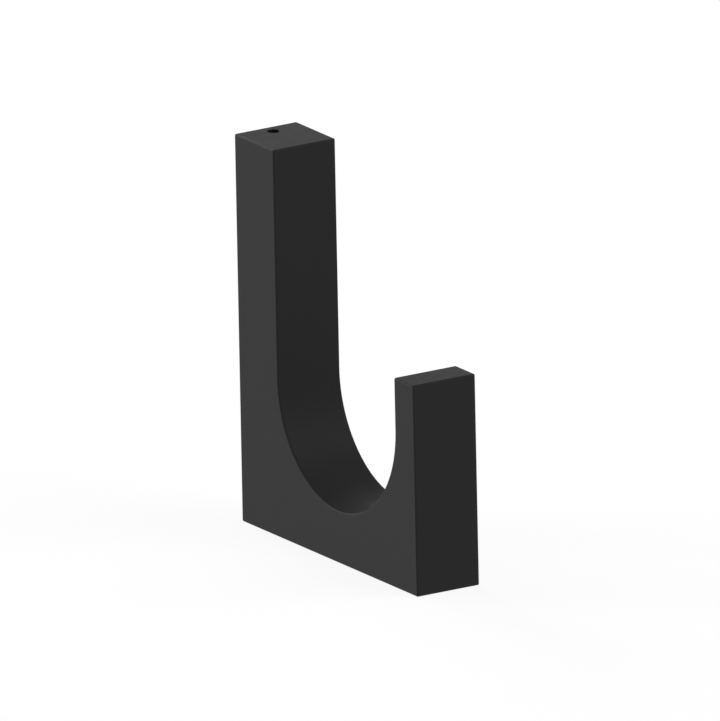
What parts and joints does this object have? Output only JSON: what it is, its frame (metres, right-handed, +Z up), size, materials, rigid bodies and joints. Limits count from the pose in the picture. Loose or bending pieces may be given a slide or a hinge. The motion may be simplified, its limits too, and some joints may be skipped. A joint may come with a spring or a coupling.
{
  "type": "coat hook",
  "caption": "Wall coat hook: a square-edged J-shaped block with a half-round cradle and a low front lip, held on a hidden round wall spigot by a set screw in its top.",
  "frame": {"origin": "where the axis of the wall fixing meets the wall plane, 15 mm below the top of the post", "axes": "+Z up, +Y into the wall along the wall screw, +X to the right of someone who faces the wall"},
  "size_m": [0.02, 0.09, 0.11],
  "materials": {
    "black_powder_coat": "fine matt black powder coat on solid aluminium",
    "zinc_plated_steel": "turned steel, bright zinc plated",
    "black_oxide_steel": "hardened steel, black oxide and oil"
  },
  "bodies": {
    "root": {"hook_body": "black_powder_coat", "wall_spigot": "zinc_plated_steel", "set_screw": "black_oxide_steel"}
  },
  "joints": []
}
